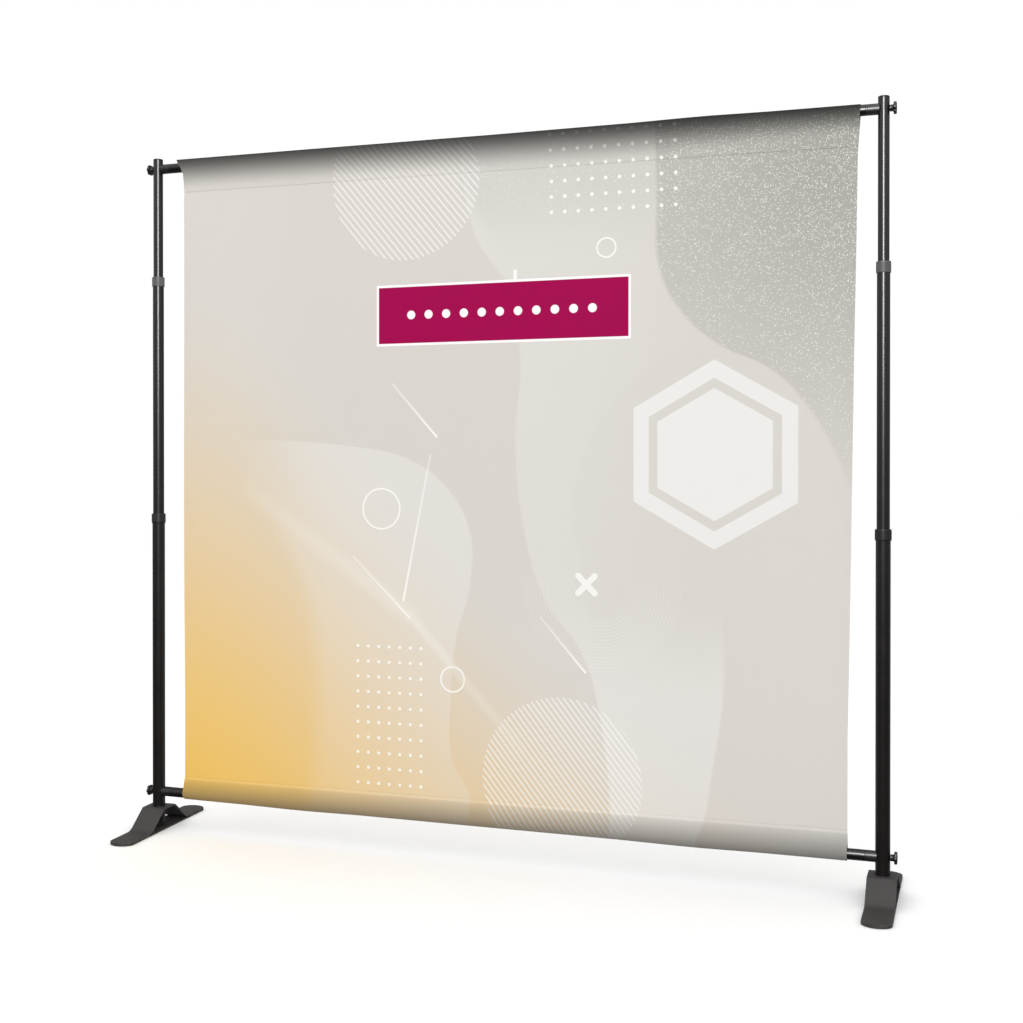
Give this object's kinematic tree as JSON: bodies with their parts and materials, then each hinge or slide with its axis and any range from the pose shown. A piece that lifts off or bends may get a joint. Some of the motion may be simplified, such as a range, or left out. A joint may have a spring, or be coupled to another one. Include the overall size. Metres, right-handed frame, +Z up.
{
  "type": "telescopic banner stand",
  "caption": "Free-standing telescopic frame: round uprights on flat bridge-shaped feet, extending crossbars top and bottom, and a printed banner stretched between them by sleeves.",
  "frame": {"origin": "middle of the footprint, on the floor", "axes": "+X to the viewer's right along the banner, -Y out of the banner's front, +Z up"},
  "size_m": [2.078, 0.419, 1.92],
  "materials": {
    "tube_coat": "black satin-gloss powder coat",
    "foot_coat": "charcoal satin powder coat on steel",
    "collar_plastic": "satin moulded nylon",
    "bush_plastic": "plain moulded acetal",
    "knob_plastic": "fine-textured moulded nylon",
    "plug_plastic": "satin moulded nylon",
    "zinc_steel": "bright zinc plated",
    "banner_face": "matt printed banner cloth",
    "banner_sleeve": "matt printed banner cloth"
  },
  "bodies": {
    "lower_crossbar": {"bottom_bar_centre_tube": "tube_coat", "bottom_bar_left_collet": "bush_plastic", "bottom_bar_right_collet": "bush_plastic", "banner_bottom_sleeve": "banner_sleeve", "banner_panel": "banner_face"},
    "upper_crossbar": {"top_bar_centre_tube": "tube_coat", "top_bar_left_collet": "bush_plastic", "top_bar_right_collet": "bush_plastic", "banner_top_sleeve": "banner_sleeve"},
    "left_base": {"left_lower_tube": "tube_coat", "left_bottom_plug": "bush_plastic", "left_lower_collet": "bush_plastic", "bottom_bar_left_tube": "tube_coat", "bottom_bar_left_plug": "plug_plastic"},
    "left_foot": {"left_foot_base_plate": "foot_coat", "left_foot_bracket": "foot_coat", "left_foot_bolt": "zinc_steel"},
    "left_middle": {"left_mid_tube": "tube_coat", "left_mid_bush": "bush_plastic", "left_upper_collet": "bush_plastic"},
    "left_top": {"left_top_tube": "tube_coat", "left_top_cap": "knob_plastic", "left_top_bush": "bush_plastic", "top_bar_left_tube": "tube_coat", "top_bar_left_plug": "plug_plastic"},
    "left_lower_twist_collar": {"left_lower_collar": "collar_plastic"},
    "left_upper_twist_collar": {"left_upper_collar": "collar_plastic"},
    "left_bottom_hand_knob": {"left_bottom_knob": "knob_plastic", "left_bottom_knob_stud": "zinc_steel"},
    "left_top_hand_knob": {"left_top_knob": "knob_plastic", "left_top_knob_stud": "zinc_steel"},
    "bottom_bar_left_twist_collar": {"bottom_bar_left_collar": "collar_plastic"},
    "top_bar_left_twist_collar": {"top_bar_left_collar": "collar_plastic"},
    "right_base": {"right_lower_tube": "tube_coat", "right_bottom_plug": "bush_plastic", "right_lower_collet": "bush_plastic", "bottom_bar_right_tube": "tube_coat", "bottom_bar_right_plug": "plug_plastic"},
    "right_foot": {"right_foot_base_plate": "foot_coat", "right_foot_bracket": "foot_coat", "right_foot_bolt": "zinc_steel"},
    "right_middle": {"right_mid_tube": "tube_coat", "right_mid_bush": "bush_plastic", "right_upper_collet": "bush_plastic"},
    "right_top": {"right_top_tube": "tube_coat", "right_top_cap": "knob_plastic", "right_top_bush": "bush_plastic", "top_bar_right_tube": "tube_coat", "top_bar_right_plug": "plug_plastic"},
    "right_lower_twist_collar": {"right_lower_collar": "collar_plastic"},
    "right_upper_twist_collar": {"right_upper_collar": "collar_plastic"},
    "right_bottom_hand_knob": {"right_bottom_knob": "knob_plastic", "right_bottom_knob_stud": "zinc_steel"},
    "right_top_hand_knob": {"right_top_knob": "knob_plastic", "right_top_knob_stud": "zinc_steel"},
    "bottom_bar_right_twist_collar": {"bottom_bar_right_collar": "collar_plastic"},
    "top_bar_right_twist_collar": {"top_bar_right_collar": "collar_plastic"}
  },
  "joints": [
    {"name": "height", "type": "slide", "parent": "lower_crossbar", "child": "upper_crossbar", "axis": [0, 0, 1], "range_m": [-0.88, 0], "deforming": ["banner_panel"]},
    {"name": "width_left", "type": "slide", "parent": "lower_crossbar", "child": "left_base", "axis": [-1, 0, 0], "range_m": [-0.03, 0.22]},
    {"name": "top_width_left", "type": "slide", "parent": "upper_crossbar", "child": "left_top", "axis": [-1, 0, 0], "range_m": [-0.03, 0.22]},
    {"name": "left_middle_slide", "type": "slide", "parent": "left_base", "child": "left_middle", "axis": [0, 0, 1], "range_m": [-0.5896, 0]},
    {"name": "left_foot_swivel", "type": "hinge", "parent": "left_base", "child": "left_foot", "pos_m": [-1.004, 0, 0], "axis": [0, 0, 1], "range_deg": [-90, 90]},
    {"name": "left_lower_collar_twist", "type": "hinge", "parent": "left_base", "child": "left_lower_twist_collar", "pos_m": [-1.004, 0, 0.87429], "axis": [0, 0, 1], "range_deg": [0, 180]},
    {"name": "left_upper_collar_twist", "type": "hinge", "parent": "left_middle", "child": "left_upper_twist_collar", "pos_m": [-1.004, 0, 1.55361], "axis": [0, 0, 1], "range_deg": [0, 180]},
    {"name": "left_bottom_knob_turn", "type": "hinge", "parent": "left_base", "child": "left_bottom_hand_knob", "pos_m": [-1.004, 0, 0.1024], "axis": [-1, 0, 0], "range_deg": [0, 360]},
    {"name": "left_top_knob_turn", "type": "hinge", "parent": "left_top", "child": "left_top_hand_knob", "pos_m": [-1.004, 0, 1.89], "axis": [-1, 0, 0], "range_deg": [0, 360]},
    {"name": "bottom_bar_left_collar_twist", "type": "hinge", "parent": "lower_crossbar", "child": "bottom_bar_left_twist_collar", "pos_m": [-0.55, 0, 0.1024], "axis": [-1, 0, 0], "range_deg": [0, 180]},
    {"name": "top_bar_left_collar_twist", "type": "hinge", "parent": "upper_crossbar", "child": "top_bar_left_twist_collar", "pos_m": [-0.55, 0, 1.89], "axis": [-1, 0, 0], "range_deg": [0, 180]},
    {"name": "width_right", "type": "slide", "parent": "lower_crossbar", "child": "right_base", "axis": [1, 0, 0], "range_m": [-0.03, 0.22]},
    {"name": "top_width_right", "type": "slide", "parent": "upper_crossbar", "child": "right_top", "axis": [1, 0, 0], "range_m": [-0.03, 0.22]},
    {"name": "right_middle_slide", "type": "slide", "parent": "right_base", "child": "right_middle", "axis": [0, 0, 1], "range_m": [-0.5368, 0]},
    {"name": "right_foot_swivel", "type": "hinge", "parent": "right_base", "child": "right_foot", "pos_m": [1.004, 0, 0], "axis": [0, 0, 1], "range_deg": [-90, 90]},
    {"name": "right_lower_collar_twist", "type": "hinge", "parent": "right_base", "child": "right_lower_twist_collar", "pos_m": [1.004, 0, 0.85951], "axis": [0, 0, 1], "range_deg": [0, 180]},
    {"name": "right_upper_collar_twist", "type": "hinge", "parent": "right_middle", "child": "right_upper_twist_collar", "pos_m": [1.004, 0, 1.4986], "axis": [0, 0, 1], "range_deg": [0, 180]},
    {"name": "right_bottom_knob_turn", "type": "hinge", "parent": "right_base", "child": "right_bottom_hand_knob", "pos_m": [1.004, 0, 0.1024], "axis": [1, 0, 0], "range_deg": [0, 360]},
    {"name": "right_top_knob_turn", "type": "hinge", "parent": "right_top", "child": "right_top_hand_knob", "pos_m": [1.004, 0, 1.89], "axis": [1, 0, 0], "range_deg": [0, 360]},
    {"name": "bottom_bar_right_collar_twist", "type": "hinge", "parent": "lower_crossbar", "child": "bottom_bar_right_twist_collar", "pos_m": [0.55, 0, 0.1024], "axis": [1, 0, 0], "range_deg": [0, 180]},
    {"name": "top_bar_right_collar_twist", "type": "hinge", "parent": "upper_crossbar", "child": "top_bar_right_twist_collar", "pos_m": [0.55, 0, 1.89], "axis": [1, 0, 0], "range_deg": [0, 180]}
  ],
  "couplings": [
    {"joint": "top_width_left", "follows": "width_left", "ratio": 1},
    {"joint": "left_middle_slide", "follows": "height", "ratio": 0.67},
    {"joint": "top_width_right", "follows": "width_right", "ratio": 1},
    {"joint": "right_middle_slide", "follows": "height", "ratio": 0.61}
  ]
}
